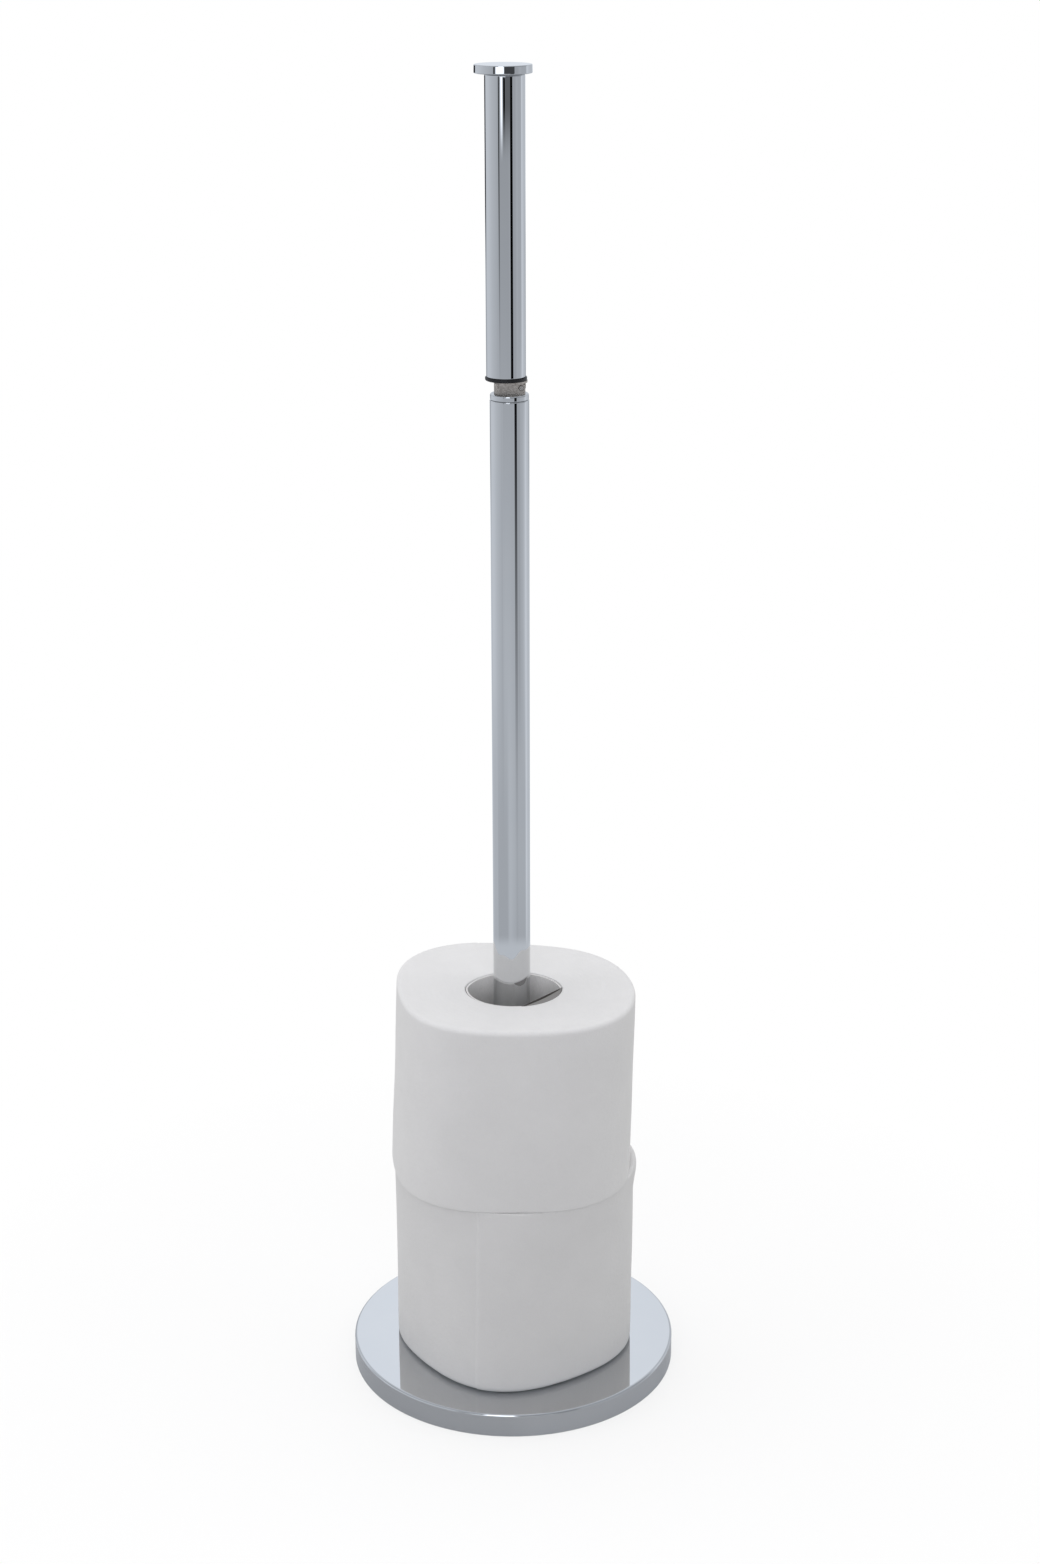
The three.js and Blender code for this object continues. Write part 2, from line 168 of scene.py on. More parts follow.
def loft(name, rings, angle=SHARP_ANGLE):
    """A closed body through rings of equally many points, the last ring joined to the first."""
    mesh = bmesh.new()
    grid = [[mesh.verts.new(point) for point in ring] for ring in rings]
    columns = len(grid[0])
    for first, second in zip(grid, grid[1:] + grid[:1]):
        for i in range(columns):
            j = (i + 1) % columns
            mesh.faces.new((first[i], first[j], second[j], second[i]))
    return finished(name, mesh, angle)


def dress(piece, body, slot, material, *nodes):
    piece.data.materials.clear()
    piece.data.materials.append(material)
    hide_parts(*nodes)
    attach(piece, body)


# Materials.
def add_node(tree, kind, inputs=None, **settings):
    """A node whose inputs get numbers, or links from other nodes' sockets."""
    node = tree.nodes.new(kind)
    for key, value in settings.items():
        setattr(node, key, value)
    for key, value in (inputs or {}).items():
        if isinstance(value, bpy.types.NodeSocket):
            tree.links.new(value, node.inputs[key])
        else:
            node.inputs[key].default_value = value
    return node


class Shader:
    """A node material with a Principled shader and short calls to add to it."""

    def __init__(self, name, **sockets):
        self.material = bpy.data.materials.new(name)
        self.material.use_nodes = True
        self.tree = self.material.node_tree
        self.principled = self.tree.nodes["Principled BSDF"]
        for socket, value in sockets.items():
            self.principled.inputs[socket.replace("_", " ")].default_value = value

    def add(self, kind, inputs=None, **settings):
        return add_node(self.tree, kind, inputs, **settings)

    def feed(self, socket, source):
        self.tree.links.new(source, self.principled.inputs[socket])

    def place(self, stretch=(1, 1, 1)):
        """Object coordinates, times stretch."""
        coordinates = self.add("ShaderNodeTexCoord").outputs["Object"]
        inputs = {"Vector": coordinates, "Scale": stretch}
        return self.add("ShaderNodeMapping", inputs).outputs["Vector"]

    def noise(self, scale, detail, roughness, stretch=(1, 1, 1)):
        inputs = {"Vector": self.place(stretch), "Scale": scale, "Detail": detail, "Roughness": roughness}
        return self.add("ShaderNodeTexNoise", inputs).outputs["Fac"]

    def remap(self, value, low_out=0, high_out=1, low_in=0.3, high_in=0.7):
        """The value, brought from one range into another; the first is usual for a noise."""
        inputs = {"Value": value, "From Min": low_in, "From Max": high_in}
        inputs.update({"To Min": low_out, "To Max": high_out})
        return self.add("ShaderNodeMapRange", inputs).outputs["Result"]

    def dot(self, first, second):
        inputs = {0: first, 1: second}
        return self.add("ShaderNodeVectorMath", inputs, operation="DOT_PRODUCT").outputs["Value"]

    def height(self, vector):
        return self.add("ShaderNodeSeparateXYZ", {"Vector": vector}).outputs["Z"]

    def blend(self, factor, first, second):
        """Colours mixed by a factor, each of them three numbers or a socket."""
        node = self.add("ShaderNodeMix", data_type="RGBA")
        self.tree.links.new(factor, node.inputs["Factor"])
        colours = [socket for socket in node.inputs if socket.type == "RGBA"]
        for socket, colour in zip(colours, (first, second)):
            if isinstance(colour, bpy.types.NodeSocket):
                self.tree.links.new(colour, socket)
            else:
                socket.default_value = (*colour, 1)
        return next(socket for socket in node.outputs if socket.type == "RGBA")

    def bump(self, height, distance):
        """Relief, on top of the relief that is there already."""
        inputs = {"Height": height, "Distance": distance}
        if self.principled.inputs["Normal"].is_linked:
            inputs["Normal"] = self.principled.inputs["Normal"].links[0].from_socket
        self.feed("Normal", self.add("ShaderNodeBump", inputs).outputs["Normal"])


def chrome():
    """Polished chrome with faint smudges and wiping marks."""
    shader = Shader("polished_chrome", Metallic=1.0)
    smudge = shader.noise(scale=38, detail=6, roughness=0.62)
    wipe = shader.noise(scale=9, detail=3, roughness=0.5, stretch=(1, 1, 0.2))
    tint = shader.blend(shader.remap(smudge), (0.583, 0.592, 0.603), (0.598, 0.604, 0.611))
    shader.feed("Base Color", tint)
    smudged = shader.remap(smudge, 0.0, 0.004)
    wiped = shader.remap(wipe, 0.006, 0.012)
    roughness = shader.add("ShaderNodeMath", {0: smudged, 1: wiped}, operation="ADD")
    shader.feed("Roughness", roughness.outputs["Value"])
    return shader.material


def zinc():
    """Raw casting with blotches and bright grains, with painted shade that darkens it towards the collar.
    """
    shader = Shader("raw_zinc_casting", Metallic=0.3, Roughness=0.62)
    blotch = shader.noise(scale=900, detail=5, roughness=0.7)
    grain = shader.noise(scale=4200, detail=3, roughness=0.6)
    blotched = shader.remap(blotch, low_in=0.35, high_in=0.65)
    stain = shader.blend(blotched, (0.3, 0.272, 0.25), (0.6, 0.566, 0.527))
    # Painted shade: the casting darkens towards the collar, down to a dark tone at its foot.
    height = shader.height(shader.place())
    unshaded_share = shader.remap(height, 0.35, 1, COLLAR_TOP, low("arm_plug").z)
    casting = shader.blend(unshaded_share, (0.17, 0.16, 0.148), stain)
    bright_grain = shader.remap(grain, 0, 0.35)
    shader.feed("Base Color", shader.blend(bright_grain, casting, (0.7, 0.68, 0.65)))
    shader.feed("Roughness", shader.remap(blotch, 0.72, 0.5))
    shader.bump(blotch, 0.00012)
    shader.bump(grain, 0.00004)
    return shader.material


def black_plastic():
    shader = Shader("black_plastic", Roughness=0.42, Specular_IOR_Level=0.3)
    speck = shader.noise(scale=2600, detail=4, roughness=0.6)
    tint = shader.blend(shader.remap(speck), (0.008, 0.008, 0.009), (0.016, 0.016, 0.018))
    shader.feed("Base Color", tint)
    shader.feed("Roughness", shader.remap(speck, 0.36, 0.5))
    shader.bump(speck, 0.00002)
    return shader.material


def steel(name, dark, bright):
    """Turned steel, with its marks running round the upright axis."""
    shader = Shader(name, Metallic=1.0)
    turned = shader.noise(scale=1400, detail=3, roughness=0.5, stretch=(1, 1, 6))
    shader.feed("Base Color", shader.blend(shader.remap(turned), dark, bright))
    shader.feed("Roughness", shader.remap(turned, 0.3, 0.45))
    shader.bump(turned, 0.00001)
    return shader.material


def iron():
    shader = Shader("cast_iron", Metallic=0.6)
    cast = shader.noise(scale=620, detail=6, roughness=0.65)
    tint = shader.blend(shader.remap(cast), (0.035, 0.036, 0.038), (0.08, 0.078, 0.075))
    shader.feed("Base Color", tint)
    shader.feed("Roughness", shader.remap(cast, 0.85, 0.65))
    shader.bump(cast, 0.0002)
    return shader.material


def foam():
    shader = Shader("black_foam", Roughness=0.95)
    inputs = {"Vector": shader.place(), "Scale": 1500}
    cells = shader.add("ShaderNodeTexVoronoi", inputs).outputs["Distance"]
    open_cells = shader.remap(cells, low_in=0, high_in=0.6)
    tint = shader.blend(open_cells, (0.006, 0.006, 0.007), (0.025, 0.025, 0.027))
    shader.feed("Base Color", tint)
    shader.bump(cells, 0.0003)
    return shader.material


def nylon():
    shader = Shader("natural_nylon", Roughness=0.55)
    cloud = shader.noise(scale=300, detail=3, roughness=0.5)
    shader.feed("Base Color", shader.blend(shader.remap(cloud), (0.62, 0.6, 0.55), (0.7, 0.69, 0.64)))
    shader.bump(cloud, 0.00003)
    return shader.material


PAPER_TONES = ((0.803, 0.802, 0.80), (0.838, 0.837, 0.835), (0.873, 0.872, 0.87))


def paper(name, whiteness_and_shade):
    """Soft tissue, its tones scaled by a factor that, for the lower roll, is partly less white tissue and
    partly painted shade.
    """
    shader = Shader(name, Roughness=0.96, Specular_IOR_Level=0.1)
    fibre = shader.noise(scale=1900, detail=6, roughness=0.68, stretch=(1, 1, 0.45))
    cloud = shader.noise(scale=42, detail=4, roughness=0.6)
    dull, bright, fluff = (tuple(whiteness_and_shade * c for c in tone) for tone in PAPER_TONES)
    tint = shader.blend(shader.remap(cloud), dull, bright)
    shader.feed("Base Color", shader.blend(shader.remap(fibre, 0, 0.4), tint, fluff))
    shader.bump(fibre, 0.0001)
    shader.bump(shader.noise(scale=420, detail=4, roughness=0.6), 0.0002)
    return shader.material


# The upper core's end is crushed to a straight edge on one side and flattened at the back.
CRUSH_ANGLE = -0.72      # middle of the crushed stretch
CRUSH_DISTANCE = 0.0175  # from the core's axis to the straight edge
CRUSH_REACH = 1.0        # the stretch ends within this angle of its middle
CRUSH_DEPTH = 0.03       # the core is round again at this depth
CRUSH_SHADE = 0.0005     # the painted shade on the crushed board comes in over this length
SQUASH_BACK = 0.0048     # how far the back wall comes in
SQUASH_FRONT = 0.0008
OUTER_SIDE = 0.008       # a face this far from the axis, along its normal, is the outer side, which gets painted shade


def cardboard():
    """Grey board with dark flecks, a paler cut end, painted shade on the crushed strip, and painted shade
    on the outer side.
    """
    shader = Shader("grey_core_board", Roughness=0.92)
    fibre = shader.noise(scale=1500, detail=6, roughness=0.7, stretch=(1, 1, 0.3))
    fleck = shader.noise(scale=5200, detail=2, roughness=0.5)
    tint = shader.blend(shader.remap(fibre), (0.83, 0.82, 0.81), (0.94, 0.93, 0.915))
    flecked = shader.blend(shader.remap(fleck, 0, 0.4, 0.6, 0.75), tint, (0.5, 0.47, 0.44))
    crush_side = Vector((math.cos(CRUSH_ANGLE), math.sin(CRUSH_ANGLE), 0))
    crush_line = CRUSH_DISTANCE + crush_side.dot(middle("roll_upper_core"))
    along = shader.dot(shader.place(), crush_side)
    # Painted shade on the crushed strip of the cut end, beyond its straight edge.
    crushed = shader.remap(along, 0, 1, crush_line - CRUSH_SHADE, crush_line)
    end_tone_and_shade = shader.blend(crushed, (0.8, 0.79, 0.78), (0.27, 0.262, 0.255))
    facing = shader.add("ShaderNodeTexCoord").outputs["Normal"]
    upwards = shader.remap(shader.height(facing), low_in=0.1, high_in=0.5)
    cut_end = shader.blend(upwards, flecked, end_tone_and_shade)
    # Painted shade on the wall's outer side, which lies in the paper's shadow.
    outwards = shader.dot(facing, shader.place((1, 1, 0)))
    outer_side_shade = shader.remap(outwards, low_in=0, high_in=OUTER_SIDE)
    shader.feed("Base Color", shader.blend(outer_side_shade, cut_end, (0.1, 0.092, 0.085)))
    shader.bump(fibre, 0.00012)
    return shader.material


CHROME = chrome()
ZINC = zinc()
BLACK = black_plastic()
STEEL = steel("zinc_plated_steel", (0.4, 0.39, 0.375), (0.52, 0.51, 0.49))
# The pin's steel is darker than the other steel.
PIN_STEEL = steel("darker_pin_steel", (0.3, 0.28, 0.26), (0.4, 0.38, 0.36))
IRON = iron()
FOAM = foam()
NYLON = nylon()
BOARD = cardboard()


# Base.
def base_cover():
    bend_radius = BASE_RADIUS - COVER_EDGE
    bend_height = BASE_TOP - COVER_EDGE
    profile = [(BORE_RADIUS, BASE_TOP)]
    profile += arc(bend_radius, bend_height, COVER_EDGE, QUARTER, 0)
    profile += [
        (BASE_RADIUS, BASE_LOW),
        (BASE_RADIUS - COVER_HEM, BASE_LOW),
        (BASE_RADIUS - COVER_HEM, BASE_LOW + COVER_WALL),
        (BASE_RADIUS - COVER_WALL, BASE_LOW + COVER_WALL),
    ]
    profile += arc(bend_radius, bend_height, COVER_EDGE - COVER_WALL, 0, QUARTER, INNER_ARC_STEPS)
    profile += [(BORE_RADIUS, BASE_TOP - COVER_WALL)]
    piece = revolve("base_cover_pressed", profile, steps=2 * ROUND_STEPS)
    dress(piece, "stand", "chrome", CHROME, "base_cover")


# Tubes and their ends.
def tube(name, node, body, x, top_edge):
    bottom = low(node).z
    top = high(node).z
    profile = [(TUBE_RADIUS - TUBE_WALL, bottom)]
    profile += arc(TUBE_RADIUS - TUBE_EDGE, bottom + TUBE_EDGE, TUBE_EDGE, -QUARTER, 0)
    profile += arc(TUBE_RADIUS - top_edge, top - top_edge, top_edge, 0, QUARTER)
    profile += [(TUBE_RADIUS - TUBE_WALL, top)]
    dress(revolve(name, profile, x), body, "chrome", CHROME, node)


def collar():
    radius = half_width("post_bush")
    spigot = half_width("foot_plug")
    bottom = low("post_bush").z
    shoulder = COLLAR_TOP - COLLAR_HEIGHT + SEAT
    profile = [(BORE_RADIUS, COLLAR_TOP)]
    profile += arc(radius - COLLAR_EDGE, COLLAR_TOP - COLLAR_EDGE, COLLAR_EDGE, QUARTER, 0)
    profile += arc(radius - TUBE_EDGE, shoulder + TUBE_EDGE, TUBE_EDGE, 0, -QUARTER, SMALL_ARC_STEPS)
    profile += [(spigot, shoulder), (spigot, bottom), (BORE_RADIUS, bottom)]
    dress(revolve("post_collar", profile), "stand", "chrome", CHROME, "post_bush")


def arm_disc():
    radius = half_width("arm_plug")
    spigot = half_width("cap_insert")
    bottom = low("arm_plug").z
    top = low("arm_tube").z - SEAT
    spigot_top = high("arm_plug").z
    upper_centre = (radius - DISC_UPPER_EDGE, top - DISC_UPPER_EDGE)
    profile = [(BORE_RADIUS, bottom)]
    profile += arc(radius - DISC_EDGE, bottom + DISC_EDGE, DISC_EDGE, -QUARTER, 0)
    profile += arc(*upper_centre, DISC_UPPER_EDGE, 0, QUARTER, SMALL_ARC_STEPS)
    profile += [(spigot, top), (spigot, spigot_top), (BORE_RADIUS, spigot_top)]
    dress(revolve("arm_disc", profile, ARM_X), "arm", "black_plastic", BLACK, "arm_plug")


def cap():
    radius = half_width("arm_cap")
    spigot_bottom = low("arm_cap").z
    bottom = high("arm_tube").z + SEAT
    top = high("arm_cap").z
    profile = [(0, spigot_bottom), (CAP_SPIGOT, spigot_bottom), (CAP_SPIGOT, bottom)]
    profile += arc(radius - CAP_EDGE, bottom + CAP_EDGE, CAP_EDGE, -QUARTER, 0)
    profile += arc(radius - CAP_DRAFT - CAP_EDGE, top - CAP_EDGE, CAP_EDGE, 0, QUARTER)
    profile += [(0, top)]
    dress(revolve("arm_end_cap", profile, CAP_X), "arm", "chrome", CHROME, "arm_cap")


# Small pieces of the knuckle and the inside: the frame's solids with soft edges.
SMALL_PIECES = {
    "hinge_fork": ("stand", "zinc", ZINC),
    "hinge_pin": ("stand", "steel", PIN_STEEL),
    "foot_plug": ("stand", "steel", STEEL),
    "base_washer": ("stand", "steel", STEEL),
    "base_screw": ("stand", "steel", STEEL),
    "fork_washer": ("stand", "steel", STEEL),
    "fork_screw": ("stand", "steel", STEEL),
    "base_weight": ("stand", "iron", IRON),
    "base_pad": ("stand", "foam", FOAM),
    "hinge_tongue": ("arm", "zinc", ZINC),
    "tongue_washer": ("arm", "steel", STEEL),
    "tongue_screw": ("arm", "steel", STEEL),
    "cap_insert": ("arm", "nylon", NYLON),
}


def small_pieces():
    for node, (body, slot, material) in SMALL_PIECES.items():
        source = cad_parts[node]
        piece = new_object(node + "_finished", source.data.copy())
        piece.matrix_world = source.matrix_world.copy()
        edges = piece.modifiers.new("soft_edges", "BEVEL")
        edges.width = SOFT_EDGE
        edges.segments = 2
        edges.limit_method = "ANGLE"
        edges.angle_limit = math.radians(BEVEL_ANGLE)
        smooth(piece)
        dress(piece, body, slot, material, node)


# Rolls. The outline is the frame's, with worn rims, wound ends, a loose tail and dents. Where
# there are two values, the first is for the roll's bottom and the second for its top:
# - centres: places of the outline's middle
# - rims: how far the end's rim is rounded, at the back and at the front
# - growths: how much wider than ROLL_RADIUS the roll is, as a share
# - waves: how the outline differs from a circle, by number of lobes, the share at the bottom,
#   the share at the top and the direction of a lobe
# A flattened roll has the core with the crushed end. The tail is the loose sheet's direction,
# the lip says whether the upper rim is squeezed out, and the seed is the roll's place in the
# noise that gives it its dents.
ROLL_RADIUS = 0.0592
ROLLS = {
    "lower": {
        "centres": (Vector((0.00025, -0.0026)), Vector((0.0008, 0.0019))),
        "rims": ((0.0009, 0.0035), (0.0003, 0.0003)),
        "growths": (-0.02, -0.018),
        "waves": ((2, -0.008, 0.029, 0.0), (4, 0.033, 0.0, -0.2)),
        "flattened": False,
        # The lower roll is darker: partly less white tissue, partly painted shade.
        "whiteness_and_shade": 0.953,
        "tail": -1.878,
        "lip": 1.0,
        "seed": 11.3,
    },
    "upper": {
        "centres": (Vector((-0.0021, 0.0012)), Vector((0.0009, 0.0009))),
        "rims": ((0.0005, 0.0005), (0.0008, 0.0024)),
        "growths": (0.001, -0.018),
        "waves": ((2, 0.051, 0.051, -0.49), (3, 0.019, 0.019, 0.04), (4, 0.034, 0.034, -0.77)),
        "flattened": True,
        "whiteness_and_shade": 1.0,
        "tail": 1.9,
        "lip": 0.0,
        "seed": 3.7,
    },
}
ROLL_COLUMNS = 300
ROLL_ROWS = 44
END_RINGS = 42
RIM_STEPS = 7
BORE_ROWS = 8
TAIL_STEP = 0.0005
TAIL_WIDTH = 0.0006
WINDING_PITCH = 0.0026
WINDING_DEPTH = 0.00012
WINDING_FADE = 1 / 8     # share of an end's width over which its relief fades at either side
SOFT_DEPTH = 0.0003      # of the side's swellings and the ends' dents
SIDE_SCALE = 1.7         # of the noise for the side, which has the roll's radius as its unit
END_SCALE = 90           # of the noise for the ends, in metres
GAP_ANGLE = -1.466       # where the seam between the rolls gapes
GAP_REACH = 0.4
GAP_DEPTH = 0.0009
LIP_ANGLE = 0.12         # where the lower roll's rim is squeezed out beside the upper roll
LIP_REACH = 0.75
LIP_HEIGHT = 0.0018
LIP_WIDTH = 0.0024
LIP_SWELL = 0.0016
LIP_FALL = 0.15          # share of the roll's height over which the swelling ends
LIP_RIM = 0.002


def between(first, second, share):
    return first + (second - first) * share


def turn_between(first, second):
    """The angle between two directions."""
    return abs((first - second + math.pi) % TURN - math.pi)


def hump(distance, reach):
    """A soft bump: 1 at no distance, 0 from reach on."""
    share = min(1.0, distance / reach)
    return 0.5 + 0.5 * math.cos(math.pi * share)


def squash(angle, below):
    """How far the wall of a flattened core comes in, at a depth below the end."""
    side = math.sin(angle)
    push = SQUASH_BACK * side if side > 0 else SQUASH_FRONT * side ** 4
    return push * hump(below, CRUSH_DEPTH)


def roll_outline(roll, angle, share):
    """The outline's centre and its radius in one direction, at a share of the roll's height."""
    low_centre, high_centre = roll["centres"]
    growth = between(*roll["growths"], share)
    for lobes, low_depth, high_depth, direction in roll["waves"]:
        growth += between(low_depth, high_depth, share) * math.cos(lobes * (angle - direction))
    return low_centre.lerp(high_centre, share), ROLL_RADIUS * (1 + growth)


def roll_paper(which):
    roll = ROLLS[which]
    node = f"roll_{which}_paper"
    core_node = f"roll_{which}_core"
    bottom = low(node).z
    height = high(node).z - bottom
    core = middle(core_node)
    bore = half_width(core_node) + SHEET_GAP
    gapes_at_top = roll["lip"] > 0
    angles = [roll["tail"] + TURN * i / ROLL_COLUMNS for i in range(ROLL_COLUMNS)]
    angles.append(roll["tail"] + TURN - TAIL_WIDTH / ROLL_RADIUS)

    def lip(angle):
        return roll["lip"] * hump(turn_between(angle, LIP_ANGLE), LIP_REACH)

    def rim(angle, at_top):
        """The rounding's size."""
        at_back, at_front = roll["rims"][at_top]
        size = between(at_back, at_front, 0.5 - 0.5 * math.sin(angle))
        if at_top:
            size += LIP_RIM * lip(angle)
        if at_top == gapes_at_top:
            size += GAP_DEPTH * max(0.0, 1 - turn_between(angle, GAP_ANGLE) / GAP_REACH)
        return size

    def side_point(angle, z, inset, lift=0.0):
        share = z / height
        centre, radius = roll_outline(roll, angle, share)
        wound = (angle - roll["tail"]) / TURN
        radius += TAIL_STEP * (0.5 - wound) - inset
        around = Vector((math.cos(angle), math.sin(angle), z / ROLL_RADIUS)) * SIDE_SCALE
        radius += noise.noise(around + Vector((roll["seed"], 0, 0))) * SOFT_DEPTH
        radius += LIP_SWELL * lip(angle) * hump(1 - share, LIP_FALL)
        place = centre + radius * Vector((math.cos(angle), math.sin(angle)))
        return Vector((place.x, place.y, bottom + z + lift))

    def bore_point(angle, z, wider=0.0):
        radius = bore + wider - (squash(angle, height - z) if roll["flattened"] else 0)
        return Vector((core.x + radius * math.cos(angle), core.y + radius * math.sin(angle), bottom + z))

    def end_point(angle, share, at_top):
        """A point of an end, from the bore to the rim, with ridges where the paper is wound."""
        z = height * at_top
        outer = side_point(angle, z, rim(angle, at_top))
        inner = bore_point(angle, z, SHEET_GAP)
        point = inner.lerp(outer, share)
        reach = (point - inner).length
        phase = reach / WINDING_PITCH - (angle - roll["tail"]) / TURN
        ridge = 0.5 + 0.5 * math.cos(TURN * phase)
        fade = min(1.0, share / WINDING_FADE, (1 - share) / WINDING_FADE)
        dent = abs(noise.noise(Vector((point.x, point.y, roll["seed"])) * END_SCALE)) * SOFT_DEPTH
        sink = fade * (WINDING_DEPTH * ridge ** 3 + dent)
        lift = LIP_HEIGHT * lip(angle) * hump((outer - point).length, LIP_WIDTH)
        point.z += lift - sink if at_top else sink
        return point

    def rim_point(angle, turn, at_top):
        """A point of the rounding, from the end's edge at turn 0 to the side at a quarter turn."""
        size = rim(angle, at_top)
        inset = size * (1 - math.sin(turn))
        rise = size * (1 - math.cos(turn))
        if not at_top:
            return side_point(angle, rise, inset)
        lift = LIP_HEIGHT * lip(angle) * math.cos(turn) ** 0.5
        return side_point(angle, height - rise, inset, lift)

    def row_point(angle, share):
        """A point of the side, between the two roundings."""
        return side_point(angle, between(rim(angle, False), height - rim(angle, True), share), 0)

    ends = [i / END_RINGS for i in range(END_RINGS)]
    turns = [QUARTER * i / RIM_STEPS for i in range(RIM_STEPS + 1)]
    rows = [i / ROLL_ROWS for i in range(1, ROLL_ROWS)]
    depths = [between(SHEET_GAP, CRUSH_DEPTH, i / BORE_ROWS) for i in range(BORE_ROWS + 1)]
    rings = [[bore_point(a, SHEET_GAP) for a in angles]]
    rings += [[end_point(a, share, False) for a in angles] for share in ends]
    rings += [[rim_point(a, turn, False) for a in angles] for turn in turns]
    rings += [[row_point(a, share) for a in angles] for share in rows]
    rings += [[rim_point(a, turn, True) for a in angles] for turn in reversed(turns)]
    rings += [[end_point(a, share, True) for a in angles] for share in reversed(ends)]
    rings += [[bore_point(a, height - below) for a in angles] for below in depths]
    name = f"{which}_roll_paper"
    piece = loft(name, rings, PAPER_SHARP_ANGLE)
    dress(piece, f"roll_{which}", "paper", paper(name + "_tissue", roll["whiteness_and_shade"]), node)


CORE_COLUMNS = 180
CORE_ROWS = 30
CORE_WALL = 0.0009
CORE_RECESS = 0.0004
# The cut end, from its outer edge inwards, as shares of its width and depths of the crease
# where the wall folded.
CREASE = ((0.8, 0.0003), (0.2, 0.0004), (0.18, 0.004), (0.05, 0.004), (0.03, 0.0001))
CREASE_PUSH = 0.0005     # from this push on, the crease has its full depth


def roll_core(which):
    flattened = ROLLS[which]["flattened"]
    node = f"roll_{which}_core"
    bottom = low(node).z
    top = high(node).z - CORE_RECESS
    outer = half_width(node)
    centre = middle(node)
    angles = [TURN * i / CORE_COLUMNS for i in range(CORE_COLUMNS)]
    # The rows are closer together towards the top, where the wall bends.
    levels = [top - (top - bottom) * (i / CORE_ROWS) ** 2 for i in range(CORE_ROWS + 1)]

    def outside(angle, z):
        """The outer wall's radius."""
        return outer - (squash(angle, top - z) if flattened else 0)

    def pressed(angle, z):
        """How far the inner wall is pushed inwards beside it at the crushed stretch."""
        away = turn_between(angle, CRUSH_ANGLE)
        if not flattened or away >= CRUSH_REACH:
            return 0.0
        radius = outside(angle, top) - CORE_WALL
        return max(0.0, radius - CRUSH_DISTANCE / math.cos(away)) * hump(top - z, CRUSH_DEPTH)

    def point(angle, z, radius):
        return Vector((centre.x + radius * math.cos(angle), centre.y + radius * math.sin(angle), z))

    def inner_point(angle, z):
        return point(angle, z, outside(angle, z) - CORE_WALL - pressed(angle, z))

    def end_point(angle, share, sink):
        push = pressed(angle, top)
        deep = sink * min(1.0, push / CREASE_PUSH)
        return point(angle, top - deep, outside(angle, top) - (CORE_WALL + push) * (1 - share))

    rings = [[inner_point(a, z) for a in angles] for z in levels]
    rings += [[point(a, z, outside(a, z)) for a in angles] for z in reversed(levels)]
    rings += [[end_point(a, share, sink) for a in angles] for share, sink in CREASE]
    dress(loft(f"{which}_roll_core", rings), f"roll_{which}", "core_board", BOARD, node)


# Camera, as the photograph was taken.
PHOTO_HEIGHT = 1564      # in pixels
FOCAL_PIXELS = 2609.3
SENSOR = 36.0            # in millimetres
CAMERA_PLACE = Vector((0.00425, -1.1708, 0.7188))
CAMERA_DOWN = math.radians(19.315)
CAMERA_ROLL = math.radians(-0.17)
CAMERA_SIGHT = 20        # how far it sees


def make_camera():
    data = bpy.data.cameras.new("camera")
    data.sensor_width = SENSOR
    data.lens = SENSOR * FOCAL_PIXELS / PHOTO_HEIGHT
    data.clip_end = CAMERA_SIGHT
    camera = new_object("camera", data)
    turn = Matrix.Rotation(QUARTER - CAMERA_DOWN, 4, "X") @ Matrix.Rotation(CAMERA_ROLL, 4, "Z")
    camera.matrix_world = Matrix.Translation(CAMERA_PLACE) @ turn
    bpy.context.scene.camera = camera


# Studio, as shiny surfaces reflect it. Directions and heights are in degrees: 0 is towards the
# front and level, and + is to the right and upwards.
# The room's tone by direction, all the way round from the white backdrop behind.
ROOM_TONES = (
    (-180, 1.15), (-172, 1.1), (-162, 0.74), (-142, 0.71), (-128, 0.85), (-106, 0.84), (-81, 0.74),
    (-53, 0.66), (-47, 0.63), (-41, 0.71), (-30, 0.75), (0, 0.74), (24, 0.69), (44, 0.575),
    (56, 0.54), (67, 0.62), (81, 0.67), (92, 0.76), (106, 0.97), (118, 0.84), (130, 0.77),
    (146, 0.72), (162, 0.66), (172, 1.0), (180, 1.15),
)
ALL_ROUND = (-180, 180)
